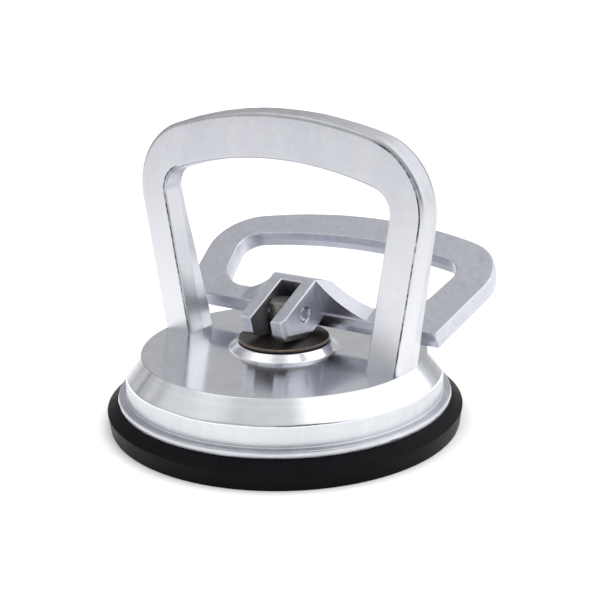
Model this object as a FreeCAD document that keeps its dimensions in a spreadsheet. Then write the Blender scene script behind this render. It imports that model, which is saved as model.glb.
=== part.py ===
import FreeCAD, Part
import math
import os
import re

import Sketcher
from FreeCAD import Placement, Rotation, Vector

# Vacuum suction cup: a cast base with a fixed carrying handle, a rubber pad below it, and a
# flip lever whose cam ears pull the middle of the pad up into the base.
#
# Frame: origin at the centre of the pad's underside, +Z up, the handle spans X, the lever lies
# towards +Y and turns about a pin along X. Lengths in millimetres, angles in degrees.

SIZES = {
    # rubber pad
    "pad_radius": 59.0,            # widest edge
    "pad_edge_height": 6.0,        # height of that edge
    "pad_foot_radius": 58.2,
    "pad_seal_width": 4.5,         # flat ring that seals on the work
    "pad_dish_depth": 0.8,
    "pad_top": 8.4,                # the base stands on the pad here
    # steel insert in the pad
    "plate_radius": 35.7,
    "plate_bottom": 3.5,
    "plate_thickness": 2.0,
    "plate_gap": 0.3,              # round the plate, so that it can rise out of its well
    # base, turned
    "flange_radius": 55.0,
    "flange_thickness": 2.3,
    "band_radius": 52.5,
    "band_top": 17.5,
    "deck_radius": 47.0,
    "deck_height": 23.8,
    "boss_foot_radius": 18.1,
    "boss_top_radius": 15.7,
    "boss_shoulder": 25.6,
    "boss_land_radius": 13.6,
    "boss_land": 26.2,
    "cavity_radius": 46.0,
    "cavity_ceiling": 18.0,
    # fixed handle, measured on its parting plane
    "handle_front": 6.5,           # parting plane to front face
    "handle_back": 7.0,            # parting plane to back face, before it is cut to lean
    "handle_back_top": 2.5,        # and at the grip
    "handle_lean_angle": 4.7,      # the back face leans forward as it rises
    "handle_lean_radius": 234.0,   # and turns upright on this radius
    "handle_lean_top": 82.0,
    "handle_root": 20.0,
    "handle_foot_outer": 46.7,
    "handle_foot_inner": 34.0,
    "handle_corner_outer": 57.8,
    "handle_corner_outer_height": 88.6,
    "handle_corner_inner": 43.5,
    "handle_corner_inner_height": 78.4,
    "handle_top_radius": 134.0,
    "handle_underside_radius": 127.0,
    "handle_shoulder_radius": 24.0,
    "handle_inner_radius": 7.5,
    "handle_front_round": 0.9,
    "handle_back_round": 1.4,
    # draft of the castings: how far a side leans in, and over what depth from its front
    "handle_draft": 0.35,
    "handle_draft_depth": 6.0,
    "lever_draft": 0.25,
    "lever_draft_depth": 3.0,
    # lever, in its own frame: x along the pin, y up the loop, z out of its top face
    "lever_tilt": 26.7,            # at rest, above horizontal
    "lever_origin_height": 28.8,   # where its top face crosses the pad's axis
    "lever_thickness": 6.2,
    "lever_front": 10.5,
    "lever_front_corner": 50.9,
    "lever_top_corner": 60.6,
    "lever_top_corner_reach": 50.4,
    "lever_top_radius": 155.0,
    "lever_shoulder_radius": 18.0,
    "lever_foot_radius": 1.2,
    "loop_front": 18.0,
    "loop_front_corner": 38.6,
    "loop_top_corner": 45.9,
    "loop_top_corner_reach": 43.8,
    "loop_top_radius": 168.0,
    "loop_front_radius": 13.0,
    "loop_top_corner_radius": 7.0,
    "lever_edge_round": 0.6,
    # hub and cam ears, in the lever's frame
    "hub_half_width": 8.6,
    "hub_top": 12.4,
    "hub_ridge": 13.4,
    "hub_rear_top": 9.0,
    "web_half_width": 25.5,
    "web_slope_radius": 35.0,      # the web's hollow slopes down to the loop
    "ear_bottom": 1.75,            # below the lever's top face
    "ear_heel": 0.6,
    "ear_front_low": 9.68,
    "ear_front_low_height": 5.53,
    "ear_front_top": 8.1,
    "ear_cam_radius": 3.2,
    "ear_bevel": 0.8,              # along the outer edge of the cam, and
    "ear_bevel_rise": 2.0,         # how far it reaches up the ear's side
    "slot_half_width": 3.95,
    "slot_end": 11.5,
    "hub_edge_round": 0.5,
    # pivot and stud
    "pin_height": 6.25,            # pin centre over the lever's top face
    "pin_radius": 2.5,
    "pin_sink": 0.6,
    "pin_play": 0.05,
    "pin_mouth_chamfer": 0.3,
    "stud_radius": 4.5,
    "stud_play": 0.08,
    "stud_flat": 3.6,
    "stud_flat_bottom": 22.6,
    "stud_top": 39.8,
    "stud_chamfer": 0.7,
    "thread_radius": 4.0,
    "thread_bottom": 5.7,
    "thread_top": 13.0,
    # wear washer
    "washer_radius": 15.1,
    "washer_bore_radius": 4.9,
    "washer_thickness": 1.2,
    "washer_round": 0.4,
    # nuts
    "weld_nut_width": 13.0,
    "weld_nut_thickness": 4.0,
    "jam_nut_width": 13.0,
    "jam_nut_thickness": 3.0,
    # return spring
    "spring_wire_radius": 0.75,
    "spring_mean_radius": 8.85,
    "spring_turns": 4.0,
}

LEFT, RIGHT = "left", "right"      # which way an arc turns along an outline
PIN_LEVEL = "lever_origin_height + pin_height / cos(lever_tilt)"     # the pin crosses the pad's axis
PIN_REACH = "pin_height * tan(lever_tilt)"                           # and lies here along the lever
PLATE_TOP = "plate_bottom + plate_thickness"

doc = FreeCAD.newDocument("suction_cup")
sheet = doc.addObject("Spreadsheet::Sheet", "Sizes")
for row, (alias, size) in enumerate(SIZES.items(), start=1):
    sheet.set(f"A{row}", alias)
    sheet.set(f"B{row}", str(size))
    sheet.setAlias(f"B{row}", alias)
doc.recompute()


def bound(expression):
    """The expression with each size's name pointing at its cell."""
    return re.sub(r"[a-z_]+", lambda m: "Sizes." + m[0] if m[0] in SIZES else m[0], expression)


def value(expression):
    """The present value of an expression in the sheet's sizes."""
    return float(sheet.evalExpression(bound(expression)))


def drive(feature, **settings):
    """Bind a feature's properties to expressions in the sheet's sizes."""
    for name, expression in settings.items():
        feature.setExpression(name, bound(expression))


def new_body(label):
    body = doc.addObject("PartDesign::Body", label)
    body.Label = label
    return body


def plane_of(body, role):
    return next(item for item in body.Origin.OriginFeatures if item.Role == role)


def new_sketch(body, name, role, offset=None):
    """An empty sketch on one of the body's origin planes, moved along the plane's normal."""
    sketch = body.newObject("Sketcher::SketchObject", name)
    sketch.AttachmentSupport = (plane_of(body, role), "")
    sketch.MapMode = "FlatFace"
    if offset:
        sketch.setExpression("AttachmentOffset.Base.z", bound(offset))
    doc.recompute()
    return sketch


def outline(sketch, corners):
    """Draw one closed outline. Each corner is (x, y), or (x, y, radius, turn) where an arc of that
    radius, turning LEFT or RIGHT on its way, leads to the next corner."""
    points = [Vector(value(corner[0]), value(corner[1]), 0) for corner in corners]
    first = sketch.GeometryCount
    ends = []
    for index, corner in enumerate(corners):
        start = points[index]
        end = points[(index + 1) % len(points)]
        if len(corner) == 2:
            geometry = Part.LineSegment(start, end)
            ends.append((1, 2))
        else:
            geometry, order = arc_between(start, end, value(corner[2]), corner[3])
            ends.append(order)
        sketch.addGeometry(geometry, False)
    for index, corner in enumerate(corners):
        edge = first + index
        following = first + (index + 1) % len(corners)
        sketch.addConstraint(Sketcher.Constraint(
            "Coincident", edge, ends[index][1], following, ends[(index + 1) % len(corners)][0]))
        for kind, expression in (("DistanceX", corner[0]), ("DistanceY", corner[1])):
            number = sketch.addConstraint(Sketcher.Constraint(
                kind, -1, 1, edge, ends[index][0], value(expression)))
            sketch.setExpression(f"Constraints[{number}]", bound(expression))
        if len(corner) == 4:
            number = sketch.addConstraint(Sketcher.Constraint("Radius", edge, value(corner[2])))
            sketch.setExpression(f"Constraints[{number}]", bound(corner[2]))


def arc_between(start, end, radius, turn):
    """The short arc between two points, and the vertex numbers of its start and end. The kernel's
    arcs all turn left, so an arc that turns right is drawn from its end."""
    if turn == RIGHT:
        start, end = end, start
    chord = end - start
    rise = math.sqrt(radius ** 2 - (chord.Length / 2) ** 2)
    centre = (start + end) * 0.5 + Vector(-chord.y, chord.x, 0).normalize() * rise
    angles = [math.atan2(point.y - centre.y, point.x - centre.x) for point in (start, end)]
    arc = Part.ArcOfCircle(Part.Circle(centre, Vector(0, 0, 1), radius), *angles)
    return arc, ((1, 2) if turn == LEFT else (2, 1))


def circle(sketch, x, y, radius):
    """Draw a circle whose centre and radius follow the sheet."""
    shape = Part.Circle(Vector(value(x), value(y), 0), Vector(0, 0, 1), value(radius))
    edge = sketch.addGeometry(shape, False)
    for kind, expression in (("DistanceX", x), ("DistanceY", y)):
        number = sketch.addConstraint(Sketcher.Constraint(kind, -1, 1, edge, 3, value(expression)))
        sketch.setExpression(f"Constraints[{number}]", bound(expression))
    number = sketch.addConstraint(Sketcher.Constraint("Radius", edge, value(radius)))
    sketch.setExpression(f"Constraints[{number}]", bound(radius))


def pad(body, name, sketch, length, reverse=False, both_ways=False):
    feature = body.newObject("PartDesign::Pad", name)
    feature.Profile = sketch
    feature.Reversed = reverse
    feature.Midplane = both_ways
    feature.Refine = False
    drive(feature, Length=length)
    doc.recompute()
    return feature


def pocket(body, name, sketch, length=None):
    """Cut the sketch through the body both ways, and make sure that it did cut."""
    before = body.Shape.Volume
    feature = body.newObject("PartDesign::Pocket", name)
    feature.Profile = sketch
    feature.Midplane = True
    drive(feature, Length=length)
    doc.recompute()
    if not body.Shape.Volume < before - 0.01:
        raise RuntimeError(name + " cuts nothing")
    return feature


def revolve(body, name, sketch):
    """Turn the sketch a full turn about its own vertical axis."""
    feature = body.newObject("PartDesign::Revolution", name)
    feature.Profile = sketch
    feature.ReferenceAxis = (sketch, ["V_Axis"])
    feature.Angle = 360.0
    doc.recompute()
    return feature


def edges_where(body, wanted):
    """Names of the body's edges whose midpoint and direction suit the test."""
    names = []
    for number, edge in enumerate(body.Shape.Edges, start=1):
        middle = edge.valueAt((edge.FirstParameter + edge.LastParameter) / 2)
        along = edge.tangentAt((edge.FirstParameter + edge.LastParameter) / 2)
        if wanted(middle, along):
            names.append(f"Edge{number}")
    return names


def soften(body, name, wanted, radius=None, chamfer=None, depth=None, flip=False):
    """Round the body's edges that suit the test, or chamfer them, with a longer second leg where a
    depth is given. The long leg of such a chamfer is the draft of a casting, and flip puts it on
    the side of the edge that the kernel counts second."""
    base = body.Tip
    names = edges_where(body, wanted)
    if not names:
        raise RuntimeError(name + " finds no edge")
    feature = body.newObject("PartDesign::Fillet" if radius else "PartDesign::Chamfer", name)
    feature.Base = (base, names)
    if radius:
        drive(feature, Radius=radius)
    else:
        drive(feature, Size=chamfer)
    if depth:
        feature.ChamferType = "Two distances"
        feature.FlipDirection = flip
        drive(feature, Size2=depth)
    doc.recompute()
    return feature


# ---------------------------------------------------------------- body casting


def arch_outline():
    """The handle's outline on its parting plane: out and over, then back under the grip."""
    outer = [("handle_foot_outer", "handle_root"),
             ("handle_corner_outer", "handle_corner_outer_height", "handle_top_radius", LEFT),
             ("-handle_corner_outer", "handle_corner_outer_height"),
             ("-handle_foot_outer", "handle_root")]
    inner = [("-handle_foot_inner", "handle_root"),
             ("-handle_corner_inner", "handle_corner_inner_height", "handle_underside_radius", RIGHT),
             ("handle_corner_inner", "handle_corner_inner_height"),
             ("handle_foot_inner", "handle_root")]
    return outer + inner


def make_body_casting():
    body = new_body("body_casting")
    arch = new_sketch(body, "handle_arch", "XZ_Plane")
    outline(arch, arch_outline())
    pad(body, "handle_front_half", arch, "handle_front")
    pad(body, "handle_back_half", arch, "handle_back", reverse=True)
    soften(body, "handle_shoulders",
           lambda middle, along: abs(middle.x) > 55 and middle.z > 85 and abs(along.y) > 0.9,
           radius="handle_shoulder_radius")
    soften(body, "handle_inner_corners",
           lambda middle, along: 40 < abs(middle.x) < 50 and 75 < middle.z < 85 and abs(along.y) > 0.9,
           radius="handle_inner_radius")

    front = -value("handle_front")
    root = value("handle_root")
    above_root = lambda middle: middle.z > root + 1
    soften(body, "handle_front_draft",
           lambda middle, along: abs(middle.y - front) < 0.01 and above_root(middle),
           chamfer="handle_draft", depth="handle_draft_depth")
    soften(body, "handle_front_rounding",
           lambda middle, along: abs(middle.y - front) < 0.01 and above_root(middle),
           radius="handle_front_round")

    upright = ("handle_back_top", "handle_lean_top")
    leaning = ("handle_back_top + handle_lean_radius * (1 - cos(handle_lean_angle))",
               "handle_lean_top - handle_lean_radius * sin(handle_lean_angle)")
    foot = (f"{leaning[0]} + ({leaning[1]} - handle_root) * tan(handle_lean_angle)", "handle_root")
    lean = new_sketch(body, "handle_lean", "YZ_Plane")
    outline(lean, [foot, ("handle_back * 2", "handle_root"), ("handle_back * 2", "handle_lean_top * 2"),
                   ("handle_back_top", "handle_lean_top * 2"), upright + ("handle_lean_radius", LEFT),
                   leaning])
    pocket(body, "handle_back_lean", lean, "handle_corner_outer * 3")
    grip_back = value("handle_back_top")
    soften(body, "handle_back_rounding",
           lambda middle, along: middle.y > grip_back - 0.01 and above_root(middle)
           and not (abs(along.x) > 0.99 and abs(middle.x) > 20),
           radius="handle_back_round")

    section = new_sketch(body, "base_section", "XZ_Plane")
    outline(section, [
        ("stud_radius + stud_play", "boss_land"), ("stud_radius + stud_play", "cavity_ceiling"),
        ("cavity_radius", "cavity_ceiling"), ("cavity_radius", "pad_top"),
        ("flange_radius", "pad_top"), ("flange_radius", "pad_top + flange_thickness"),
        ("band_radius", "pad_top + flange_thickness"), ("band_radius", "band_top"),
        ("deck_radius", "deck_height"), ("boss_foot_radius", "deck_height"),
        ("boss_top_radius", "boss_shoulder"), ("boss_land_radius", "boss_shoulder"),
        ("boss_land_radius", "boss_land")])
    revolve(body, "base_turned", section)
    return body


# ---------------------------------------------------------------- cam lever


def make_cam_lever():
    body = new_body("cam_lever")
    loop = new_sketch(body, "loop", "XY_Plane")
    outline(loop, [("lever_front_corner", "lever_front"),
                   ("lever_top_corner", "lever_top_corner_reach", "lever_top_radius", LEFT),
                   ("-lever_top_corner", "lever_top_corner_reach"),
                   ("-lever_front_corner", "lever_front")])
    outline(loop, [("loop_front_corner", "loop_front"),
                   ("loop_top_corner", "loop_top_corner_reach", "loop_top_radius", LEFT),
                   ("-loop_top_corner", "loop_top_corner_reach"),
                   ("-loop_front_corner", "loop_front")])
    pad(body, "loop_plate", loop, "lever_thickness", reverse=True)

    def upright_edge_at(x, y):
        return lambda middle, along: (
            abs(abs(middle.x) - value(x)) < 1 and abs(middle.y - value(y)) < 1 and abs(along.z) > 0.9)

    soften(body, "loop_shoulders", upright_edge_at("lever_top_corner", "lever_top_corner_reach"),
           radius="lever_shoulder_radius")
    soften(body, "loop_feet", upright_edge_at("lever_front_corner", "lever_front"),
           radius="lever_foot_radius")
    soften(body, "loop_inner_top", upright_edge_at("loop_top_corner", "loop_top_corner_reach"),
           radius="loop_top_corner_radius")
    soften(body, "loop_inner_front", upright_edge_at("loop_front_corner", "loop_front"),
           radius="loop_front_radius")
    for side, level in (("upper", 0.0), ("lower", -value("lever_thickness"))):
        on_face = lambda middle, along: abs(middle.z - level) < 0.01
        soften(body, f"loop_{side}_draft", on_face, chamfer="lever_draft", depth="lever_draft_depth",
               flip=side == "lower")
        soften(body, f"loop_{side}_rounding", on_face, radius="lever_edge_round")

    web = new_sketch(body, "hub_web", "YZ_Plane")
    outline(web, [("lever_front + lever_draft + lever_edge_round", "-lever_edge_round"),
                  ("loop_front - lever_draft - lever_edge_round", "-lever_edge_round"),
                  ("loop_front - lever_draft", "hub_rear_top"), ("hub_ridge", "hub_top")])
    pad(body, "hub_web_block", web, "web_half_width * 2", both_ways=True)
    slopes = new_sketch(body, "hub_slopes", "XZ_Plane")
    for side, turn in (("", LEFT), ("-", RIGHT)):
        outline(slopes, [(side + "web_half_width", "0"), (side + "web_half_width", "hub_top * 2"),
                         (side + "hub_half_width", "hub_top * 2"),
                         (side + "hub_half_width", "hub_top", "web_slope_radius", turn)])
    pocket(body, "hub_web_slopes", slopes, "loop_front * 3")

    ears = new_sketch(body, "ear_profile", "YZ_Plane")
    outline(ears, [("ear_heel", "-ear_bottom"), ("loop_front - 1", "-ear_bottom"),
                   ("loop_front - 1", "hub_rear_top"), ("hub_ridge", "hub_top"),
                   ("-ear_front_top", "hub_top"), ("-ear_front_low", "ear_front_low_height")])
    pad(body, "ear_block", ears, "hub_half_width * 2", both_ways=True)
    slot = new_sketch(body, "stud_slot", "YZ_Plane")
    outline(slot, [("slot_end", "-lever_thickness * 2"), ("slot_end", "hub_top * 2"),
                   ("-slot_end * 2", "hub_top * 2"), ("-slot_end * 2", "-lever_thickness * 2")])
    pocket(body, "stud_slot_cut", slot, "slot_half_width * 2")
    bore = new_sketch(body, "pin_bore", "YZ_Plane")
    circle(bore, PIN_REACH, "pin_height", "pin_radius")
    pocket(body, "pin_bore_cut", bore, "hub_half_width * 3")

    lobe = (-value("ear_front_low"), value("ear_front_low_height"))
    soften(body, "cam_lobes",
           lambda middle, along: abs(along.x) > 0.99 and abs(middle.y - lobe[0]) < 0.05
           and abs(middle.z - lobe[1]) < 0.05,
           radius="ear_cam_radius")
    side = value("hub_half_width")
    top = value("hub_top")
    heel = value("ear_heel")
    soften(body, "ear_bevels",
           lambda middle, along: abs(abs(middle.x) - side) < 0.01 and abs(along.x) < 0.5
           and middle.y < heel - 0.1 and middle.z < lobe[1] + 0.5,
           chamfer="ear_bevel", depth="ear_bevel_rise", flip=True)
    soften(body, "hub_top_rounding", lambda middle, along: abs(middle.z - top) < 0.01,
           radius="hub_edge_round")
    soften(body, "pin_bore_mouths",
           lambda middle, along: abs(abs(middle.x) - side) < 0.01
           and abs(math.hypot(middle.y - value(PIN_REACH), middle.z - value("pin_height"))
                   - value("pin_radius")) < 0.01,
           chamfer="pin_mouth_chamfer")
    stand_at_rest_angle(body)
    return body


def stand_at_rest_angle(item):
    """Turn a piece that is drawn in the lever's own frame to the angle at which the lever rests."""
    item.Placement = Placement(Vector(0, 0, value("lever_origin_height")),
                               Rotation(Vector(1, 0, 0), value("lever_tilt")))
    drive(item, **{"Placement.Base.z": "lever_origin_height", "Placement.Rotation.Angle": "lever_tilt"})
    doc.recompute()


# ---------------------------------------------------------------- stud, pin and washer


def make_pivot_pin():
    """A plain pin pressed into both ears, its ends sunk below their sides."""
    pin = doc.addObject("Part::Cylinder", "pivot_pin")
    pin.Label = "pivot_pin"
    pin.Placement.Rotation = Rotation(Vector(0, 1, 0), 90)
    drive(pin, Radius="pin_radius", Height="(hub_half_width - pin_sink) * 2",
          **{"Placement.Base.x": "pin_sink - hub_half_width", "Placement.Base.z": PIN_LEVEL})
    return pin


def make_pull_stud():
    """A round stud with a threaded foot, two long flats that fit the slot, and a cross bore."""
    body = new_body("pull_stud")
    section = new_sketch(body, "stud_section", "XZ_Plane")
    outline(section, [("0", "thread_bottom"), ("thread_radius", "thread_bottom"),
                      ("thread_radius", "thread_top"), ("stud_radius", "thread_top"),
                      ("stud_radius", "stud_top - stud_chamfer"),
                      ("stud_radius - stud_chamfer", "stud_top"), ("0", "stud_top")])
    revolve(body, "stud_turned", section)
    flats = new_sketch(body, "stud_flats", "XZ_Plane")
    for side in ("", "-"):
        outline(flats, [(side + "stud_flat", "stud_flat_bottom"),
                        (side + "stud_radius * 2", "stud_flat_bottom"),
                        (side + "stud_radius * 2", "stud_top * 2"), (side + "stud_flat", "stud_top * 2")])
    pocket(body, "stud_flats_cut", flats, "stud_radius * 3")
    cross = new_sketch(body, "cross_bore", "YZ_Plane")
    circle(cross, "0", PIN_LEVEL, "pin_radius + pin_play")
    pocket(body, "cross_bore_cut", cross, "stud_radius * 3")
    return body


def make_wear_washer():
    body = new_body("wear_washer")
    section = new_sketch(body, "washer_section", "XZ_Plane")
    outline(section, [("washer_bore_radius", "boss_land"), ("washer_radius", "boss_land"),
                      ("washer_radius", "boss_land + washer_thickness"),
                      ("washer_bore_radius", "boss_land + washer_thickness")])
    revolve(body, "washer_turned", section)
    rim = value("washer_radius")
    soften(body, "washer_rim", lambda middle, along: math.hypot(middle.x, middle.y) > rim - 0.01
           and abs(along.z) < 0.5, radius="washer_round")
    return body


# ---------------------------------------------------------------- pad, insert, nuts and spring


def make_rubber_pad():
    """The moulded pad, solid at the rim, with a well for the steel plate and a shallow dish below."""
    body = new_body("rubber_pad")
    section = new_sketch(body, "pad_section", "XZ_Plane")
    well_radius = "plate_radius + plate_gap"
    outline(section, [
        ("0", "pad_dish_depth"), ("pad_foot_radius - pad_seal_width * 2", "pad_dish_depth"),
        ("pad_foot_radius - pad_seal_width", "0"), ("pad_foot_radius", "0"),
        ("pad_radius", "pad_edge_height"), ("flange_radius", "pad_top"),
        ("cavity_radius - plate_gap", "pad_top"), (well_radius, PLATE_TOP),
        (well_radius, "plate_bottom - plate_gap / 2"), ("0", "plate_bottom - plate_gap / 2")])
    revolve(body, "pad_moulded", section)
    return body


def make_insert_plate():
    body = new_body("insert_plate")
    disc = new_sketch(body, "plate_outline", "XY_Plane", offset="plate_bottom")
    circle(disc, "0", "0", "plate_radius")
    pad(body, "plate_disc", disc, "plate_thickness")
    return body


def make_nut(label, bottom):
    """A hexagon nut on the stud's thread."""
    body = new_body(label)
    corner = f"{label}_width / 2 / cos(30)"
    hexagon = new_sketch(body, label + "_hexagon", "XY_Plane", offset=bottom)
    outline(hexagon, [(f"{corner} * cos({angle})", f"{corner} * sin({angle})")
                      for angle in range(0, 360, 60)])
    pad(body, label + "_blank", hexagon, f"{label}_thickness")
    bore = new_sketch(body, label + "_bore", "XY_Plane")
    circle(bore, "0", "0", "thread_radius")
    pocket(body, label + "_bore_cut", bore, "deck_height * 3")
    return body


def make_return_spring():
    """An open coil spring that stands on the plate and bears on the cavity's ceiling."""
    body = new_body("return_spring")
    seat = PLATE_TOP + " + spring_wire_radius"
    rise = f"cavity_ceiling - spring_wire_radius - ({seat})"
    section = new_sketch(body, "spring_wire", "XZ_Plane")
    circle(section, "spring_mean_radius", seat, "spring_wire_radius")
    coil = body.newObject("PartDesign::AdditiveHelix", "spring_coil")
    coil.Profile = section
    coil.ReferenceAxis = (section, ["V_Axis"])
    drive(coil, Height=rise, Pitch=f"({rise}) / spring_turns")
    doc.recompute()
    return body


def check(pieces):
    """Stop if any object failed to compute, or a piece is null or invalid."""
    for item in doc.Objects:
        if "Invalid" in item.State or "Error" in item.State:
            raise RuntimeError(f"{item.Label} failed: {item.getStatusString()}")
    for piece in pieces:
        if piece.Shape.isNull() or not piece.Shape.isValid():
            raise RuntimeError(piece.Label + " has no valid shape")


def main():
    pieces = [make_body_casting(), make_cam_lever(), make_pivot_pin(), make_pull_stud(),
              make_wear_washer(), make_rubber_pad(), make_insert_plate(),
              make_nut("weld_nut", PLATE_TOP), make_nut("jam_nut", PLATE_TOP + " + weld_nut_thickness"),
              make_return_spring()]
    doc.recompute()
    check(pieces)
    os.makedirs("parts", exist_ok=True)
    for piece in pieces:
        piece.Shape.exportStep(f"parts/{piece.Label}.step")


main()
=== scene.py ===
import math

import bmesh
import bpy
from mathutils import Matrix, Vector, noise


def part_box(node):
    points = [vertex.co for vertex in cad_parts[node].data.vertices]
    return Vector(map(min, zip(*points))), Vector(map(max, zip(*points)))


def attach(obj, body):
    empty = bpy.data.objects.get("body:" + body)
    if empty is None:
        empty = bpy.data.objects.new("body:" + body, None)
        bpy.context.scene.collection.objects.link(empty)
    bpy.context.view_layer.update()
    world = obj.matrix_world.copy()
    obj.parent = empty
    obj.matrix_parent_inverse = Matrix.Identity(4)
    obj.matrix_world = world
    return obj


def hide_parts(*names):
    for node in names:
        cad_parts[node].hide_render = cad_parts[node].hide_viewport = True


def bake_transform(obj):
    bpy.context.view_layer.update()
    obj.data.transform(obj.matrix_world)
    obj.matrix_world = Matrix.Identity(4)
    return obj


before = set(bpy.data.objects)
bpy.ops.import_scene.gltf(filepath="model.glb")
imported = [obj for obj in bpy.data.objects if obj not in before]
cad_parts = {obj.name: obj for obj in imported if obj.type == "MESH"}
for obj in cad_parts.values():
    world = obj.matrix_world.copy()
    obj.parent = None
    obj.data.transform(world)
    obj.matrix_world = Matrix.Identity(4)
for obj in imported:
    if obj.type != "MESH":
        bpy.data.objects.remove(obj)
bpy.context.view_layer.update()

# Vacuum suction cup. Lengths in metres, in the frame's axes: +Z up the pad's axis, the carrying
# handle along X, the flip lever towards +Y. Sizes written here in millimetres are times MM.

MM = 0.001
TURN_STEPS = 240                     # sides of a turned piece
CORNER_STEPS = 4                     # straight steps round a small rounded corner
CORNER_REACH = 0.45                  # the most of a stretch that one corner's rounding may take
RING_VERTICES = 70                   # a circular edge of a CAD piece has more vertices than this


# ---------------------------------------------------------------- sizes read from the frame


def turned_rings(node):
    """(radius, height) of each circular edge round the Z axis of a CAD node, from low to high."""
    counts = {}
    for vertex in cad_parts[node].data.vertices:
        ring = (round(math.hypot(vertex.co.x, vertex.co.y) / MM, 2), round(vertex.co.z / MM, 2))
        counts[ring] = counts.get(ring, 0) + 1
    found = [ring for ring, count in counts.items() if count > RING_VERTICES and ring[0] > 0]
    found.sort(key=lambda ring: (ring[1], ring[0]))
    return [(radius * MM, height * MM) for radius, height in found]


rings = turned_rings("body_casting")
(cavity_mouth, flange_foot, ledge_inner, flange_top, band_top, bore_low, cavity_top) = rings[:7]
(boss_foot, deck_edge, boss_step, boss_shoulder, bore_top, boss_land) = rings[-6:]
pad_low, pad_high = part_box("rubber_pad")
washer_low, washer_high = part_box("wear_washer")
plate_low, plate_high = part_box("insert_plate")


# ---------------------------------------------------------------- mesh helpers


def new_piece(name, mesh, body, replaces):
    piece = bpy.data.objects.new(name, mesh)
    bpy.context.scene.collection.objects.link(piece)
    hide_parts(*replaces)
    if body:
        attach(piece, body)
    return piece


def shade(mesh, sharp_angle=40):
    """Smooth shading that stays crisp over real corners."""
    for polygon in mesh.polygons:
        polygon.use_smooth = True
    mesh.set_sharp_from_angle(angle=math.radians(sharp_angle))


def weigh_normals(piece):
    """Let the large faces keep their own normals, so that the small rounded edges carry the turn."""
    modifier = piece.modifiers.new("weighted_normals", "WEIGHTED_NORMAL")
    modifier.keep_sharp = True
    modifier.weight = 60


def softened(corners, closed=True):
    """A profile with rounded corners. Each corner is (radius, height, setback, zone), where the
    setback is how far from the corner its rounding starts, and the zone is the number of the
    material on the stretch that follows. Returns points and the zone after each."""
    points = []
    count = len(corners)
    for index, (radius, height, setback, zone) in enumerate(corners):
        here = Vector((radius, height))
        if not setback or (not closed and index in (0, count - 1)):
            points.append((here, zone))
            continue
        before = Vector(corners[index - 1][:2]) - here
        after = Vector(corners[(index + 1) % count][:2]) - here
        start = here + before.normalized() * min(setback, before.length * CORNER_REACH)
        end = here + after.normalized() * min(setback, after.length * CORNER_REACH)
        for step in range(CORNER_STEPS + 1):
            t = step / CORNER_STEPS
            curve = start * (1 - t) ** 2 + here * (2 * t * (1 - t)) + end * t ** 2
            points.append((curve, zone))
    return points


def finished_mesh(name, form):
    bmesh.ops.recalc_face_normals(form, faces=form.faces)
    mesh = bpy.data.meshes.new(name)
    form.to_mesh(mesh)
    form.free()
    return mesh


def turned_mesh(name, points, wobble=None, closed=True, steps=TURN_STEPS):
    """A solid turned round the Z axis. wobble(point_index, angle) gives a small (radius, height)
    change, for edges that aren't true."""
    form = bmesh.new()
    rings = []
    for index, (point, zone) in enumerate(points):
        if point.x < 1e-6:
            rings.append([form.verts.new((0, 0, point.y))])
            continue
        ring = []
        for step in range(steps):
            angle = 2 * math.pi * step / steps
            out, up = wobble(index, angle) if wobble else (0, 0)
            radius, height = point.x + out, point.y + up
            ring.append(form.verts.new((radius * math.cos(angle), radius * math.sin(angle), height)))
        rings.append(ring)
    pairs = list(zip(range(len(rings)), range(1, len(rings))))
    if closed:
        pairs.append((len(rings) - 1, 0))
    for low, high in pairs:
        for step in range(steps):
            following = (step + 1) % steps
            corners = []
            for ring, at in ((low, step), (low, following), (high, following), (high, step)):
                vertex = rings[ring][at % len(rings[ring])]
                if vertex not in corners:
                    corners.append(vertex)
            if len(corners) > 2:
                form.faces.new(corners).material_index = points[low][1]
    return finished_mesh(name, form)


def unevenness(point, size, height):
    """A smooth random height over space, for cast surfaces."""
    return noise.noise(Vector(point) / size) * height


def wave_round(angle, turns, seed):
    """A smooth random value round a circle that closes on itself."""
    return noise.noise(Vector((math.cos(angle) * turns, math.sin(angle) * turns, seed)))


# ---------------------------------------------------------------- materials


def node(tree, kind, inputs=None, **settings):
    made = tree.nodes.new(kind)
    for name, setting in settings.items():
        setattr(made, name, setting)
    for name, source in (inputs or {}).items():
        socket = made.inputs[name]
        if isinstance(source, bpy.types.NodeSocket):
            tree.links.new(source, socket)
        else:
            socket.default_value = source
    return made


def new_material(name, **sockets):
    """A principled material and its tree, with constants set on the shader's own sockets."""
    made = bpy.data.materials.new(name)
    made.use_nodes = True
    tree = made.node_tree
    shader = tree.nodes["Principled BSDF"]
    for socket, setting in sockets.items():
        shader.inputs[socket.replace("_", " ")].default_value = setting
    made.diffuse_color = (0.6, 0.6, 0.6, 1)
    return made, tree, shader


def place_of(tree):
    return node(tree, "ShaderNodeTexCoord").outputs["Object"]


def round_axis(tree, where):
    """A place's distance from the Z axis, and its height."""
    flat = node(tree, "ShaderNodeVectorMath", {0: where, 1: (1, 1, 0)}, operation="MULTIPLY")
    radius = node(tree, "ShaderNodeVectorMath", {0: flat.outputs["Vector"]}, operation="LENGTH")
    height = node(tree, "ShaderNodeSeparateXYZ", {"Vector": where})
    return radius.outputs["Value"], height.outputs["Z"]


def combined(tree, operation, first, second):
    return node(tree, "ShaderNodeMath", {0: first, 1: second}, operation=operation).outputs[0]


def grain(tree, where, size, detail=4.0, roughness=0.6, stretch=None):
    """Noise whose grains are about that size, in metres, from 0 to 1."""
    if stretch:
        where = node(tree, "ShaderNodeMapping", {"Vector": where, "Scale": stretch}).outputs["Vector"]
    inputs = {"Vector": where, "Scale": 1 / size, "Detail": detail, "Roughness": roughness}
    return node(tree, "ShaderNodeTexNoise", inputs).outputs["Fac"]


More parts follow.
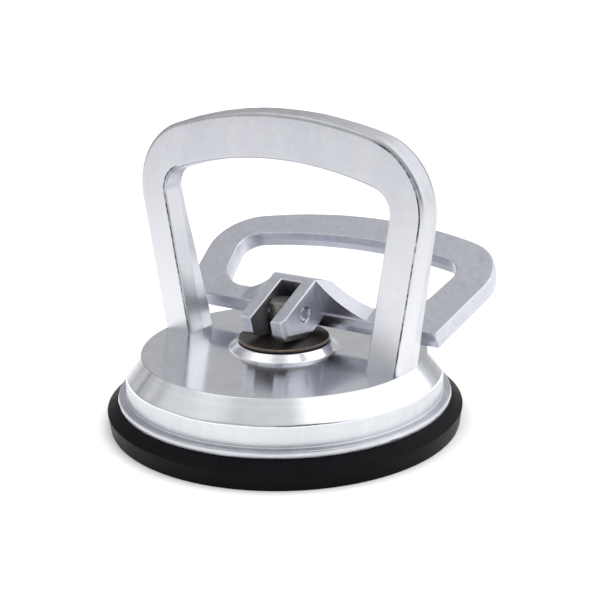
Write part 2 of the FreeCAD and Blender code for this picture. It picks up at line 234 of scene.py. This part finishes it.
def remap(tree, value, low, high, to_low, to_high):
    return node(tree, "ShaderNodeMapRange", {"Value": value, "From Min": low, "From Max": high,
                                             "To Min": to_low, "To Max": to_high}).outputs["Result"]


def shades(tree, value, stops):
    """A colour ramp; stops are (position, grey or colour)."""
    ramp = node(tree, "ShaderNodeValToRGB", {"Fac": value})
    elements = ramp.color_ramp.elements
    for index, (position, colour) in enumerate(stops):
        element = elements[index] if index < 2 else elements.new(position)
        element.position = position
        element.color = (*colour, 1) if isinstance(colour, tuple) else (colour, colour, colour, 1)
    return ramp.outputs["Color"]


def blended(tree, share, first, second):
    """A colour between two sources or fixed colours."""
    pair = [(*colour, 1) if isinstance(colour, tuple) else colour for colour in (first, second)]
    mixed = node(tree, "ShaderNodeMix", {0: share, 6: pair[0], 7: pair[1]}, data_type="RGBA")
    return mixed.outputs[2]


def raise_bump(tree, shader, heights):
    """Chain of bumps; each is (height source, depth in metres, strength)."""
    normal = None
    for height, depth, strength in heights:
        inputs = {"Height": height, "Distance": depth, "Strength": strength}
        if normal:
            inputs["Normal"] = normal
        normal = node(tree, "ShaderNodeBump", inputs).outputs["Normal"]
    tree.links.new(normal, shader.inputs["Normal"])


def corner_mask(tree, width):
    """From 0 on the faces to 1 on the outer and inner corners, over about that width."""
    rounded = node(tree, "ShaderNodeBevel", {"Radius": width}, samples=4).outputs["Normal"]
    own = node(tree, "ShaderNodeNewGeometry").outputs["Normal"]
    closeness = node(tree, "ShaderNodeVectorMath", {0: rounded, 1: own}, operation="DOT_PRODUCT")
    return remap(tree, closeness.outputs["Value"], 0.995, 0.93, 0.0, 1.0)


PIT_SPACING = 2.6 * MM


def cast_aluminium(name, light, dark, rough, grain_size=0.5 * MM, pits=0.5, specks=0.0, wear_and_highlight_edges=None,
                   foot=None):
    """Die-cast skin: fine grain, faint flow marks, small pits and slightly uneven gloss. pits is how
    strong the pits are, specks how dark the scattered stains are, the setting for corners the (width,
    colour) of paler corners, partly wear from handling and partly a painted highlight, and foot the
    (colour, height from, height to) of a paler colour low down that fades out upwards."""
    made, tree, shader = new_material(name, Metallic=1.0)
    where = place_of(tree)
    skin = grain(tree, where, grain_size, detail=5)
    flow = grain(tree, where, 9 * MM, detail=3, stretch=(1, 1, 0.35))
    blotch = grain(tree, where, 2.2 * MM, detail=2)
    cells = node(tree, "ShaderNodeTexVoronoi", {"Vector": where, "Scale": 1 / PIT_SPACING})
    pit_depth = remap(tree, cells.outputs["Distance"], 0.0, 0.13, 0.0, 1.0)
    tone = combined(tree, "ADD", flow, blotch)
    colour = shades(tree, remap(tree, tone, 0.7, 1.3, 0, 1), [(0.0, dark), (1.0, light)])
    gloss = remap(tree, blotch, 0.3, 0.7, rough - 0.04, rough + 0.05)
    if specks:
        scatter = grain(tree, where, 1.1 * MM, detail=3)
        stain = remap(tree, scatter, 0.36, 0.30, 0.0, specks)
        colour = blended(tree, stain, colour, tuple(c * 0.3 for c in dark))
    # Paler colour low down, fading out upwards.
    if foot:
        height = node(tree, "ShaderNodeSeparateXYZ", {"Vector": where}).outputs["Z"]
        colour = blended(tree, remap(tree, height, foot[1], foot[2], 0.0, 1.0), foot[0], colour)
    # Paler, glossier corners: partly wear from handling, partly a painted highlight for the light caught
    # in the small roundings.
    if wear_and_highlight_edges:
        edge = corner_mask(tree, wear_and_highlight_edges[0])
        colour = blended(tree, edge, colour, wear_and_highlight_edges[1])
        gloss = combined(tree, "MULTIPLY", gloss, remap(tree, edge, 0, 1, 1.0, 0.6))
    tree.links.new(colour, shader.inputs["Base Color"])
    tree.links.new(gloss, shader.inputs["Roughness"])
    raise_bump(tree, shader, [(skin, 0.035 * MM, 0.6), (flow, 0.12 * MM, 0.35),
                              (pit_depth, 0.03 * MM, pits)])
    return made


def turned_aluminium(name, colour, rough, groove=0.22 * MM, depth=0.004 * MM, spread=0.6):
    """Lathe-turned skin: fine rings round the axis and gloss drawn out across them."""
    made, tree, shader = new_material(name, Metallic=1.0, Anisotropic=spread, Anisotropic_Rotation=0.25)
    where = place_of(tree)
    radius, height = round_axis(tree, where)
    across = combined(tree, "SUBTRACT", radius, height)
    ring = node(tree, "ShaderNodeCombineXYZ", {"X": across})
    fine = grain(tree, ring.outputs["Vector"], groove, detail=6, roughness=0.75)
    broad = grain(tree, ring.outputs["Vector"], 2.4 * MM, detail=3)
    smear = grain(tree, where, 7 * MM, detail=2)
    tangent = node(tree, "ShaderNodeTangent", direction_type="RADIAL", axis="Z")
    tree.links.new(tangent.outputs["Tangent"], shader.inputs["Tangent"])
    tone = remap(tree, combined(tree, "ADD", broad, smear), 0.7, 1.3, 0, 1)
    darker = tuple(c * 0.88 for c in colour)
    tree.links.new(shades(tree, tone, [(0.0, darker), (1.0, colour)]), shader.inputs["Base Color"])
    tree.links.new(remap(tree, fine, 0.25, 0.75, rough * 0.75, rough * 1.3), shader.inputs["Roughness"])
    raise_bump(tree, shader, [(fine, depth, 0.8), (smear, 0.03 * MM, 0.2)])
    return made


def painted_dark_reflection(name):
    """A painted dark reflection: a thin line along the handle's front edges, broken up along its length.
    """
    made, tree, shader = new_material(name, Metallic=1.0, Roughness=0.4)
    where = place_of(tree)
    patch = grain(tree, where, 16 * MM, detail=2)
    nick = grain(tree, where, 1.5 * MM, detail=4)
    tone = remap(tree, combined(tree, "ADD", patch, nick), 0.88, 1.2, 0, 1)
    colour = shades(tree, tone, [(0.0, (0.07, 0.07, 0.09)), (1.0, (0.48, 0.49, 0.53))])
    tree.links.new(colour, shader.inputs["Base Color"])
    raise_bump(tree, shader, [(nick, 0.05 * MM, 0.5)])
    return made


def moulded_rubber(name):
    made, tree, shader = new_material(name, IOR=1.5, Specular_IOR_Level=0.07)
    where = place_of(tree)
    bloom = grain(tree, where, 6 * MM, detail=4)
    skin = grain(tree, where, 0.35 * MM, detail=4)
    colour = shades(tree, bloom, [(0.3, (0.0015, 0.0015, 0.0025)), (0.75, (0.004, 0.004, 0.006))])
    tree.links.new(colour, shader.inputs["Base Color"])
    tree.links.new(remap(tree, bloom, 0.3, 0.7, 0.34, 0.48), shader.inputs["Roughness"])
    raise_bump(tree, shader, [(skin, 0.02 * MM, 0.5), (bloom, 0.06 * MM, 0.2)])
    return made


def fibre_washer(name):
    """Dark brown fibre, with a highlight painted in paler brown on the upper corner of its rim."""
    made, tree, shader = new_material(name, IOR=1.5)
    where = place_of(tree)
    radius, height = round_axis(tree, where)
    # Mask for the painted highlight: the upper corner of the rim.
    outer = remap(tree, radius, washer_high.x - 0.30 * MM, washer_high.x - 0.12 * MM, 0.0, 1.0)
    upper = remap(tree, height, washer_high.z - 0.75 * MM, washer_high.z - 0.45 * MM, 0.0, 1.0)
    rim = combined(tree, "MULTIPLY", outer, upper)
    fleck = grain(tree, where, 1.2 * MM, detail=5)
    body = shades(tree, fleck, [(0.3, (0.010, 0.007, 0.006)), (0.7, (0.024, 0.017, 0.014))])
    painted_rim_highlight = shades(tree, fleck, [(0.3, (0.10, 0.072, 0.056)), (0.7, (0.20, 0.15, 0.12))])
    tree.links.new(blended(tree, rim, body, painted_rim_highlight), shader.inputs["Base Color"])
    tree.links.new(remap(tree, fleck, 0.3, 0.7, 0.28, 0.42), shader.inputs["Roughness"])
    raise_bump(tree, shader, [(fleck, 0.02 * MM, 0.4)])
    return made


def drawn_steel(name, colour, rough, along):
    """Bar, wire or sheet with fine marks along its length; along is the axis they follow."""
    made, tree, shader = new_material(name, Metallic=1.0)
    where = place_of(tree)
    stretch = tuple(0.06 if axis == along else 1.0 for axis in "XYZ")
    mark = grain(tree, where, 0.25 * MM, detail=5, stretch=stretch)
    stain = grain(tree, where, 3 * MM, detail=3)
    stained = tuple(c * 0.72 for c in colour)
    tree.links.new(shades(tree, stain, [(0.3, stained), (0.7, colour)]), shader.inputs["Base Color"])
    tree.links.new(remap(tree, mark, 0.3, 0.7, rough - 0.07, rough + 0.08), shader.inputs["Roughness"])
    raise_bump(tree, shader, [(mark, 0.01 * MM, 0.6)])
    return made


def pale_floor(name):
    made, tree, shader = new_material(name, Roughness=0.75, Specular_IOR_Level=0.2)
    mottle = grain(tree, place_of(tree), 0.4, detail=2)
    tree.links.new(shades(tree, mottle, [(0.3, 0.90), (0.7, 0.92)]), shader.inputs["Base Color"])
    return made


# The handle is painted paler towards its foot, fading out from 35 mm up to 85 mm.
handle_cast = cast_aluminium("handle_cast", (0.59, 0.60, 0.64), (0.50, 0.51, 0.55), 0.34,
                             pits=0.3, foot=((0.72, 0.73, 0.76), 35 * MM, 85 * MM))
band_cast = cast_aluminium("band_cast", (0.74, 0.76, 0.79), (0.66, 0.68, 0.71), 0.42, 0.7 * MM)
# The ledge on the flange is painted a darker grey than the band: painted shade in the recessed step.
ledge_shaded_cast = cast_aluminium("ledge_shaded_cast", (0.59, 0.61, 0.66), (0.47, 0.49, 0.54), 0.40, 0.7 * MM)
deck_turned = turned_aluminium("deck_turned", (0.84, 0.86, 0.91), 0.13, spread=0.75)
bevel_turned = turned_aluminium("bevel_turned", (0.86, 0.88, 0.93), 0.16, groove=0.35 * MM,
                                depth=0.006 * MM)
boss_turned = turned_aluminium("boss_turned", (0.92, 0.93, 0.97), 0.20, groove=0.35 * MM,
                               depth=0.006 * MM)
# The lever's corners are painted paler: partly wear from handling, partly a painted highlight.
lever_cast = cast_aluminium("lever_cast", (0.63, 0.64, 0.70), (0.54, 0.55, 0.61), 0.38, 0.4 * MM,
                            pits=0.7, specks=0.30, wear_and_highlight_edges=(0.45 * MM, (0.95, 0.95, 0.97)))
# The last zone paints a thin dark line on the handle's front edges: a painted reflection.
CASTING_ZONES = [handle_cast, band_cast, ledge_shaded_cast, deck_turned, bevel_turned, boss_turned,
                 painted_dark_reflection("handle_edge")]
ZONE_HANDLE, ZONE_BAND, ZONE_LEDGE, ZONE_DECK, ZONE_BEVEL, ZONE_BOSS, ZONE_DARK_REFLECTION = range(7)


# ---------------------------------------------------------------- the body casting


BOSS_LIP = 0.5 * MM                  # how far the boss's rim rises towards the washer
FLASH_STEP = 0.05 * MM               # the flange bulges this much at its parting line
FLASH_OUT = 0.16 * MM                # and its flash stands out between 0 and twice this
FLASH_UP = 0.12 * MM
TRIM_WAVE = 0.28 * MM                # how uneven the band's upper edge is, in long waves
TRIM_NICK = 0.12 * MM                # and in short ones


def base_mesh():
    """The round base: flange, as-cast band, turned bevel, deck and boss, hollow below."""
    flash = (flange_foot[1] + flange_top[1]) / 2
    corners = [
        (*bore_top, 0.25 * MM, ZONE_DECK), (*bore_low, 0.2 * MM, ZONE_BAND),
        (*cavity_top, 1.2 * MM, ZONE_BAND), (*cavity_mouth, 0.4 * MM, ZONE_BAND),
        (*flange_foot, 0.35 * MM, ZONE_BAND),
        (flange_foot[0] + FLASH_STEP, flash, 0, ZONE_BAND),
        (*flange_top, 0.5 * MM, ZONE_LEDGE), (*ledge_inner, 0.35 * MM, ZONE_BAND),
        (*band_top, 0.5 * MM, ZONE_BEVEL), (*deck_edge, 0.3 * MM, ZONE_DECK),
        (*boss_foot, 0.5 * MM, ZONE_BOSS),
        (boss_shoulder[0], boss_shoulder[1] + BOSS_LIP, 0.3 * MM, ZONE_DECK),
        (boss_step[0], boss_step[1] + BOSS_LIP, 0.1 * MM, ZONE_BAND), (*boss_land, 0.1 * MM, ZONE_DECK)]
    points = softened(corners)

    def wobble(index, angle):
        """The flange's flash and the band's upper edge, cut by hand, aren't true."""
        point = points[index][0]
        if abs(point.y - flash) < 0.01 * MM and point.x > ledge_inner[0]:
            return FLASH_OUT * (1 + wave_round(angle, 9, 1.0)), FLASH_UP * wave_round(angle, 5, 2.0)
        if abs(point.x - band_top[0]) < 0.6 * MM and point.y > ledge_inner[1] + 2 * MM:
            return 0, TRIM_WAVE * wave_round(angle, 4, 3.0) + TRIM_NICK * wave_round(angle, 14, 4.0)
        return 0, 0

    return turned_mesh("base", points, wobble)


HANDLE_FRONT = 6.5 * MM              # front face, ahead of the parting plane
HANDLE_BACK = 2.5 * MM               # back face behind it, at the grip
LEAN_ANGLE = math.radians(4.7)       # the back face leans out towards the foot
LEAN_RADIUS = 234 * MM
LEAN_TOP = 82 * MM
HANDLE_ROOT = 20.5 * MM              # the legs end inside the base
# The two edges of the front view, in millimetres: where the leg starts, where leg and grip would
# meet if the shoulder were sharp, the radius of the grip, and the radius of the shoulder.
OUTER = {"foot": (46.7, 20.0), "corner": (57.8, 88.6), "arc": 134.0, "fillet": 24.0}
INNER = {"foot": (34.0, 20.0), "corner": (43.5, 78.4), "arc": 127.0, "fillet": 7.5}
LEG_STEPS, BEND_STEPS, GRIP_STEPS = 26, 20, 40
FACE_STEPS = 4                       # strips across a flat face
FRONT_DRAFT = 0.35 * MM
BACK_DRAFT = 0.22 * MM
OUTER_FRONT_ROUND = 1.7 * MM
INNER_FRONT_ROUND = 0.9 * MM
BACK_ROUND = 1.4 * MM
EDGE_SHARES = (0.3, 0.65, 0.97)      # of the depth, at the points up a side of the handle
EDGE_POINTS = 2 + len(EDGE_SHARES) + CORNER_STEPS + 2
SEAM_HEIGHT = 0.10 * MM              # parting seam, above the sides of the handle
SEAM_HALF = 0.22 * MM
SIDE_INSET = 0.16 * MM               # the sides lie this far inside the outline, the seam reaches it
CAST_WAVE = 11 * MM                  # length and height of the casting's unevenness
CAST_WAVE_HEIGHT = 0.05 * MM


def half_arch(foot, corner, arc, fillet):
    """One edge of the handle from the right foot to the middle of the grip, as (x, z) points: a
    straight leg, a rounded shoulder, and a wide arc that is level over the middle."""
    foot = Vector(foot) * MM
    corner = Vector(corner) * MM
    arc, fillet = arc * MM, fillet * MM
    centre = Vector((0, corner.y - math.sqrt(arc ** 2 - corner.x ** 2)))
    along = (corner - foot).normalized()
    inward = Vector((-along.y, along.x))
    start = foot + inward * fillet - centre
    half = start.dot(along)
    travel = -half + math.sqrt(half ** 2 - start.length_squared + (arc - fillet) ** 2)
    bend = centre + start + along * travel
    leg_end = bend - inward * fillet
    grip_start = centre + (bend - centre).normalized() * arc
    root = foot + along * ((HANDLE_ROOT - foot.y) / along.y)
    points = [root.lerp(leg_end, step / LEG_STEPS) for step in range(LEG_STEPS)]
    first = math.atan2(*reversed(leg_end - bend))
    last = math.atan2(*reversed(grip_start - bend))
    for step in range(BEND_STEPS):
        angle = first + (last - first) * step / BEND_STEPS
        points.append(bend + Vector((math.cos(angle), math.sin(angle))) * fillet)
    first = math.atan2(*reversed(grip_start - centre))
    for step in range(GRIP_STEPS + 1):
        angle = first + (math.pi / 2 - first) * step / GRIP_STEPS
        points.append(centre + Vector((math.cos(angle), math.sin(angle))) * arc)
    return points


def back_face(height):
    """How far the handle's back face lies behind the parting plane, at a height."""
    if height >= LEAN_TOP:
        return HANDLE_BACK
    straight_below = LEAN_TOP - LEAN_RADIUS * math.sin(LEAN_ANGLE)
    if height >= straight_below:
        return HANDLE_BACK + LEAN_RADIUS - math.sqrt(LEAN_RADIUS ** 2 - (LEAN_TOP - height) ** 2)
    at_join = HANDLE_BACK + LEAN_RADIUS * (1 - math.cos(LEAN_ANGLE))
    return at_join + (straight_below - height) * math.tan(LEAN_ANGLE)


def handle_edge(draft, rounding, seam):
    """Half of one side of the handle's section, from the parting plane to the start of a face:
    (inset from the outline, share of the depth, depth taken off)."""
    edge = [(SIDE_INSET - seam, 0, -SEAM_HALF * 0.5), (SIDE_INSET, 0, -SEAM_HALF)]
    for share in EDGE_SHARES:
        edge.append((SIDE_INSET + draft * share, share, rounding * share))
    for step in range(CORNER_STEPS + 2):
        angle = math.pi / 2 * step / (CORNER_STEPS + 1)
        inset = SIDE_INSET + draft + rounding * (1 - math.cos(angle))
        edge.append((inset, 1, rounding * (1 - math.sin(angle))))
    return edge


def face_points(start, end):
    """The points across a flat face between two insets, without its ends."""
    return [(start + (end - start) * step / FACE_STEPS, 1, 0) for step in range(1, FACE_STEPS)]


def handle_section(out, into, seam):
    """The points round one section of the handle: outer side and front face, inner side, then back
    face. out and into are where the outer and inner outlines pass, as (x, z)."""
    width = (into - out).length
    across = (into - out) / width
    outer_front = handle_edge(FRONT_DRAFT, OUTER_FRONT_ROUND, seam)
    inner_front = handle_edge(FRONT_DRAFT, INNER_FRONT_ROUND, seam)
    back = handle_edge(BACK_DRAFT, BACK_ROUND, seam)
    front_face = face_points(outer_front[-1][0], width - inner_front[-1][0])
    back_face_points = face_points(back[-1][0], width - back[-1][0])
    points = []

    def add(edge, origin, way, ahead):
        for inset, share, less in edge:
            side = origin + way * inset
            depth = HANDLE_FRONT if ahead else back_face(side.y)
            y = share * depth - less
            points.append((side.x, -y if ahead else y, side.y))

    add(outer_front + front_face, out, across, True)
    add(reversed(inner_front), into, -across, True)
    add(back + back_face_points, into, -across, False)
    add(reversed(back), out, across, False)
    return points


def dark_reflection_strips(station, last):
    """Which strips of the section, counted round it, carry the painted dark reflection at a station: the
    outer front edge of the right leg and shoulder, and the inner front edge of the left ones."""
    side_steps = LEG_STEPS + BEND_STEPS
    if station < side_steps:
        return (EDGE_POINTS - 2,)
    if station >= last - side_steps:
        return EDGE_POINTS + FACE_STEPS - 1, EDGE_POINTS + FACE_STEPS
    return ()


def handle_mesh():
    path = list(zip(half_arch(**OUTER), half_arch(**INNER)))
    path += [(Vector((-o.x, o.y)), Vector((-i.x, i.y))) for o, i in reversed(path[:-1])]
    form = bmesh.new()
    loops = []
    for station, (out, into) in enumerate(path):
        seam = SEAM_HEIGHT * (0.75 + 0.7 * noise.noise(Vector((station * 0.37, 0, 5))))
        loops.append([form.verts.new(point) for point in handle_section(out, into, seam)])
    for station, (low, high) in enumerate(zip(loops, loops[1:])):
        # Strips that carry the painted dark reflection line.
        dark_reflected = dark_reflection_strips(station, len(loops) - 1)
        for index in range(len(low)):
            following = (index + 1) % len(low)
            face = form.faces.new((low[index], low[following], high[following], high[index]))
            face.material_index = ZONE_DARK_REFLECTION if index in dark_reflected else ZONE_HANDLE
    form.faces.new(loops[0])
    form.faces.new(reversed(loops[-1]))
    for vertex in form.verts:
        vertex.co += Vector((1, 1, 1)) * unevenness(vertex.co, CAST_WAVE, CAST_WAVE_HEIGHT)
    return finished_mesh("handle", form)


def fused(name, first, second):
    """One closed mesh of two that overlap."""
    pair = [bpy.data.objects.new(mesh.name, mesh) for mesh in (first, second)]
    for item in pair:
        bpy.context.scene.collection.objects.link(item)
        for zone in CASTING_ZONES:
            item.data.materials.append(zone)
    union = pair[0].modifiers.new("fuse", "BOOLEAN")
    union.operation = "UNION"
    union.solver = "EXACT"
    union.object = pair[1]
    depsgraph = bpy.context.evaluated_depsgraph_get()
    mesh = bpy.data.meshes.new_from_object(pair[0].evaluated_get(depsgraph))
    mesh.name = name
    for item in pair:
        bpy.data.objects.remove(item)
    return mesh


def make_body_casting():
    mesh = fused("casting", base_mesh(), handle_mesh())
    shade(mesh)
    piece = new_piece("base_and_handle", mesh, "base", ["body_casting"])
    weigh_normals(piece)


# ---------------------------------------------------------------- pad and washer


PAD_GAP = 0.3 * MM                   # round the plate, and inside the casting's hollow
WELL_DEPTH = 0.15 * MM               # from the plate down to the rubber
PAD_DISH = 0.8 * MM                  # the middle of the pad's face stands this far off the floor
SEAL_INNER = 10.5 * MM               # where the seal starts to rise, in from the rim
SEAL_FLAT = 5.3 * MM                 # where its flat ring starts
RIM_FLARE = 0.8 * MM                 # how far the side leans out from the floor
RIM_HEIGHT = 6 * MM                  # of the widest place
PAD_STRIP = 2.5 * MM                 # the longest stretch between two rings of points


def make_pad():
    """The moulded pad, turned from its profile; its rim lies under the flange."""
    well = plate_high.x + PAD_GAP
    well_floor = plate_low.z - WELL_DEPTH
    rim = pad_high.x
    corners = [
        (0, PAD_DISH, 0, 0), (rim - SEAL_INNER, PAD_DISH, 0.8 * MM, 0), (rim - SEAL_FLAT, 0, 0.6 * MM, 0),
        (rim - RIM_FLARE, 0, 0.35 * MM, 0), (rim, RIM_HEIGHT, 0.25 * MM, 0),
        (flange_foot[0], pad_high.z, 0, 0), (cavity_mouth[0] - PAD_GAP, pad_high.z, 0.3 * MM, 0),
        (well, plate_high.z, 0.2 * MM, 0), (well, well_floor, 0, 0), (0, well_floor, 0, 0)]
    points = []
    rounded = softened(corners, closed=False)
    for (point, zone), (following, _) in zip(rounded, rounded[1:] + rounded[-1:]):
        points.append((point, zone))
        added = int((following - point).length / PAD_STRIP)
        points += [(point.lerp(following, step / (added + 1)), zone) for step in range(1, added + 1)]
    mesh = turned_mesh("pad", points, closed=False)
    mesh.materials.append(moulded_rubber("pad_rubber"))
    shade(mesh, 50)
    piece = new_piece("suction_pad", mesh, None, ["rubber_pad"])
    weigh_normals(piece)
    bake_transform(piece)


WASHER_BORE = 4.9 * MM               # radius


def make_washer():
    rim = washer_high.x
    corners = [(WASHER_BORE, washer_low.z, 0.15 * MM, 0), (rim, washer_low.z, 0.45 * MM, 0),
               (rim, washer_high.z, 0.45 * MM, 0), (WASHER_BORE, washer_high.z, 0.15 * MM, 0)]
    mesh = turned_mesh("washer", softened(corners))
    mesh.materials.append(fibre_washer("washer_fibre"))
    shade(mesh)
    weigh_normals(new_piece("cam_washer", mesh, "base", ["wear_washer"]))


# ---------------------------------------------------------------- spring


SPRING_WIRE_RADIUS = 0.75 * MM
SPRING_TURNS = 4
SPRING_END_TURN = 0.75               # of a turn lies flat at each end
SPRING_STEPS = 48                    # along one turn
WIRE_STEPS = 12                      # round the wire


def spring_height(turn):
    """The share of the spring's height reached after that many turns."""
    return min(max((turn - SPRING_END_TURN) / (SPRING_TURNS - 2 * SPRING_END_TURN), 0.0), 1.0)


def make_spring():
    """The coil spring, of round wire, with flat turns at each end."""
    low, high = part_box("return_spring")
    coil = high.x - SPRING_WIRE_RADIUS
    foot, head = low.z + SPRING_WIRE_RADIUS, high.z - SPRING_WIRE_RADIUS
    form = bmesh.new()
    loops = []
    for step in range(SPRING_TURNS * SPRING_STEPS + 1):
        share = spring_height(step / SPRING_STEPS)
        angle = 2 * math.pi * step / SPRING_STEPS
        loop = []
        for side in range(WIRE_STEPS):
            round_wire = 2 * math.pi * side / WIRE_STEPS
            radius = coil + SPRING_WIRE_RADIUS * math.cos(round_wire)
            height = foot + (head - foot) * share + SPRING_WIRE_RADIUS * math.sin(round_wire)
            loop.append(form.verts.new((radius * math.cos(angle), radius * math.sin(angle), height)))
        loops.append(loop)
    for first, second in zip(loops, loops[1:]):
        for side in range(WIRE_STEPS):
            following = (side + 1) % WIRE_STEPS
            form.faces.new((first[side], first[following], second[following], second[side]))
    form.faces.new(reversed(loops[0]))
    form.faces.new(loops[-1])
    mesh = finished_mesh("spring", form)
    mesh.materials.append(drawn_steel("spring_wire", (0.35, 0.35, 0.37), 0.35, "Y"))
    shade(mesh)
    piece = new_piece("pad_spring", mesh, None, ["return_spring"])
    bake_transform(piece)


# ---------------------------------------------------------------- pin


PIN_STEPS = 64
PIN_CHAMFER = 0.45 * MM
PIN_END_REACH = 0.35 * MM            # past the plain pin's ends, still below the ears' sides


def make_pin():
    """The pivot pin, its chamfered ends nearly flush with the ears."""
    low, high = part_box("pivot_pin")
    radius = (high.z - low.z) / 2
    end = high.x + PIN_END_REACH
    profile = [(0, end), (radius - PIN_CHAMFER - 0.3 * MM, end), (radius - PIN_CHAMFER, end - 0.06 * MM),
               (radius - 0.08 * MM, end - 0.85 * PIN_CHAMFER), (radius, end - 1.4 * PIN_CHAMFER)]
    profile += [(r, -x) for r, x in reversed(profile)]
    mesh = turned_mesh("pin", [(Vector(point), 0) for point in profile], closed=False, steps=PIN_STEPS)
    to_pin = Matrix.Translation((0, 0, (high.z + low.z) / 2)) @ Matrix.Rotation(math.pi / 2, 4, "Y")
    mesh.transform(to_pin)
    mesh.materials.append(drawn_steel("pin_ground", (0.66, 0.66, 0.68), 0.22, "X"))
    shade(mesh, 25)
    new_piece("hinge_pin", mesh, "lever", ["pivot_pin"])


# ---------------------------------------------------------------- pieces whose CAD shape stays


def dress(name, made):
    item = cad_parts[name]
    item.data.materials.clear()
    item.data.materials.append(made)


def dress_cad_pieces():
    dress("cam_lever", lever_cast)
    dress("pull_stud", drawn_steel("stud_turned", (0.27, 0.27, 0.25), 0.45, "Z"))
    dress("insert_plate", drawn_steel("plate_rolled", (0.52, 0.52, 0.53), 0.4, "X"))
    for nut in ("weld_nut", "jam_nut"):
        dress(nut, drawn_steel(nut + "_plated", (0.62, 0.60, 0.55), 0.33, "Z"))


# ---------------------------------------------------------------- camera, floor and light

CAMERA_TARGET = Vector((4.53, 3.14, 39.40)) * MM
CAMERA_DISTANCE = 336.74 * MM
CAMERA_AZIMUTH = math.radians(34.74)
CAMERA_ELEVATION = math.radians(16.48)
CAMERA_ROLL = math.radians(-1.05)
CAMERA_LENS = 61.71                  # on a 36 mm sensor


def direction(azimuth, elevation):
    """Unit vector from the object towards that azimuth and elevation, in radians."""
    return Vector((math.sin(azimuth) * math.cos(elevation),
                   -math.cos(azimuth) * math.cos(elevation), math.sin(elevation)))


def make_camera():
    data = bpy.data.cameras.new("camera")
    data.lens = CAMERA_LENS
    data.sensor_width = 36
    data.clip_start = 0.01
    data.clip_end = 20
    camera = bpy.data.objects.new("camera", data)
    bpy.context.scene.collection.objects.link(camera)
    back = direction(CAMERA_AZIMUTH, CAMERA_ELEVATION)
    camera.location = CAMERA_TARGET + back * CAMERA_DISTANCE
    aim = (-back).to_track_quat("-Z", "Y").to_matrix().to_4x4()
    camera.rotation_mode = "QUATERNION"
    camera.rotation_quaternion = (aim @ Matrix.Rotation(CAMERA_ROLL, 4, "Z")).to_quaternion()
    bpy.context.scene.camera = camera


SUN_BRIGHTNESS = 0.55                # what it adds to a white floor
SUN_SPREAD = math.radians(100)


def overhead_sun():
    """Wide, soft light from above that whitens the floor and the matt pieces, and that the metal
    doesn't mirror."""
    data = bpy.data.lights.new("overhead", "SUN")
    data.energy = SUN_BRIGHTNESS * math.pi
    data.angle = SUN_SPREAD
    lamp = bpy.data.objects.new("overhead", data)
    bpy.context.scene.collection.objects.link(lamp)
    lamp.visible_glossy = False


FLOOR_REACH = 2.5                    # from the object to each side of the floor


def make_stage():
    mesh = bpy.data.meshes.new("floor")
    corners = [(x * FLOOR_REACH, y * FLOOR_REACH, 0) for x, y in ((-1, -1), (1, -1), (1, 1), (-1, 1))]
    mesh.from_pydata(corners, [], [(0, 1, 2, 3)])
    mesh.materials.append(pale_floor("floor_pale"))
    floor = bpy.data.objects.new("floor", mesh)
    floor.location.z = pad_low.z
    bpy.context.scene.collection.objects.link(floor)


SKY_DIM = 0.50
FLOOR_GLOW = 1.1                     # of the surroundings below the horizon
# Soft lobes of the surroundings: (azimuth, elevation, cosine where it starts, cosine where it is
# full, brightness added).
SKY_LOBES = [
    (120, 40, 0.59, 0.83, 0.90),     # softbox behind on the right
    (30, 80, 0.75, 0.97, 0.25),      # softbox overhead
    (-165, 42, 0.93, 0.98, 0.45),    # strip behind, which lights the top of the grip
    (-55, 40, 0.85, 0.97, 0.25),     # softbox in front on the left
    (-55, 62, 0.93, 0.985, 0.55),    # its bright rim, seen in the rolled edges
    (-118, 50, 0.85, 0.97, 0.12),    # and a weak one behind on the left
    (-97, 23, 0.90, 0.97, -0.20),    # the gap between them, with narrow bright slits
    (-84, 22, 0.990, 0.998, 0.35),
    (-97, 12, 0.992, 0.998, 0.30),
    (-108, 4, 0.990, 0.998, 0.30),
    (52, 10, 0.86, 0.97, -0.40),     # the dark side of the room, in front on the right
]


def make_world():
    """Soft white surroundings, with a few brighter lobes and a darker one, which light the object
    and show in its metal. Behind the object they look plain white."""
    world = bpy.data.worlds.new("studio")
    world.use_nodes = True
    tree = world.node_tree
    background = tree.nodes["Background"]
    way = node(tree, "ShaderNodeTexCoord").outputs["Generated"]
    total = SKY_DIM
    for azimuth, elevation, start, full, added in SKY_LOBES:
        axis = direction(math.radians(azimuth), math.radians(elevation))
        closeness = node(tree, "ShaderNodeVectorMath", {0: way, 1: axis}, operation="DOT_PRODUCT")
        inputs = {"Value": closeness.outputs["Value"], "From Min": start, "From Max": full,
                  "To Min": 0.0, "To Max": added}
        lobe = node(tree, "ShaderNodeMapRange", inputs, interpolation_type="SMOOTHSTEP")
        total = combined(tree, "ADD", total, lobe.outputs["Result"])
    up = node(tree, "ShaderNodeSeparateXYZ", {"Vector": way}).outputs["Z"]
    total = combined(tree, "MAXIMUM", total, remap(tree, up, 0.0, 0.06, FLOOR_GLOW, 0.0))
    seen = node(tree, "ShaderNodeLightPath").outputs["Is Camera Ray"]
    total = combined(tree, "MAXIMUM", total, seen)
    tree.links.new(total, background.inputs["Color"])
    bpy.context.scene.world = world


def make_light():
    make_world()
    overhead_sun()
    bpy.context.scene.view_settings.view_transform = "Standard"


make_camera()
make_stage()
make_light()
make_body_casting()
make_pad()
make_washer()
make_spring()
make_pin()
dress_cad_pieces()
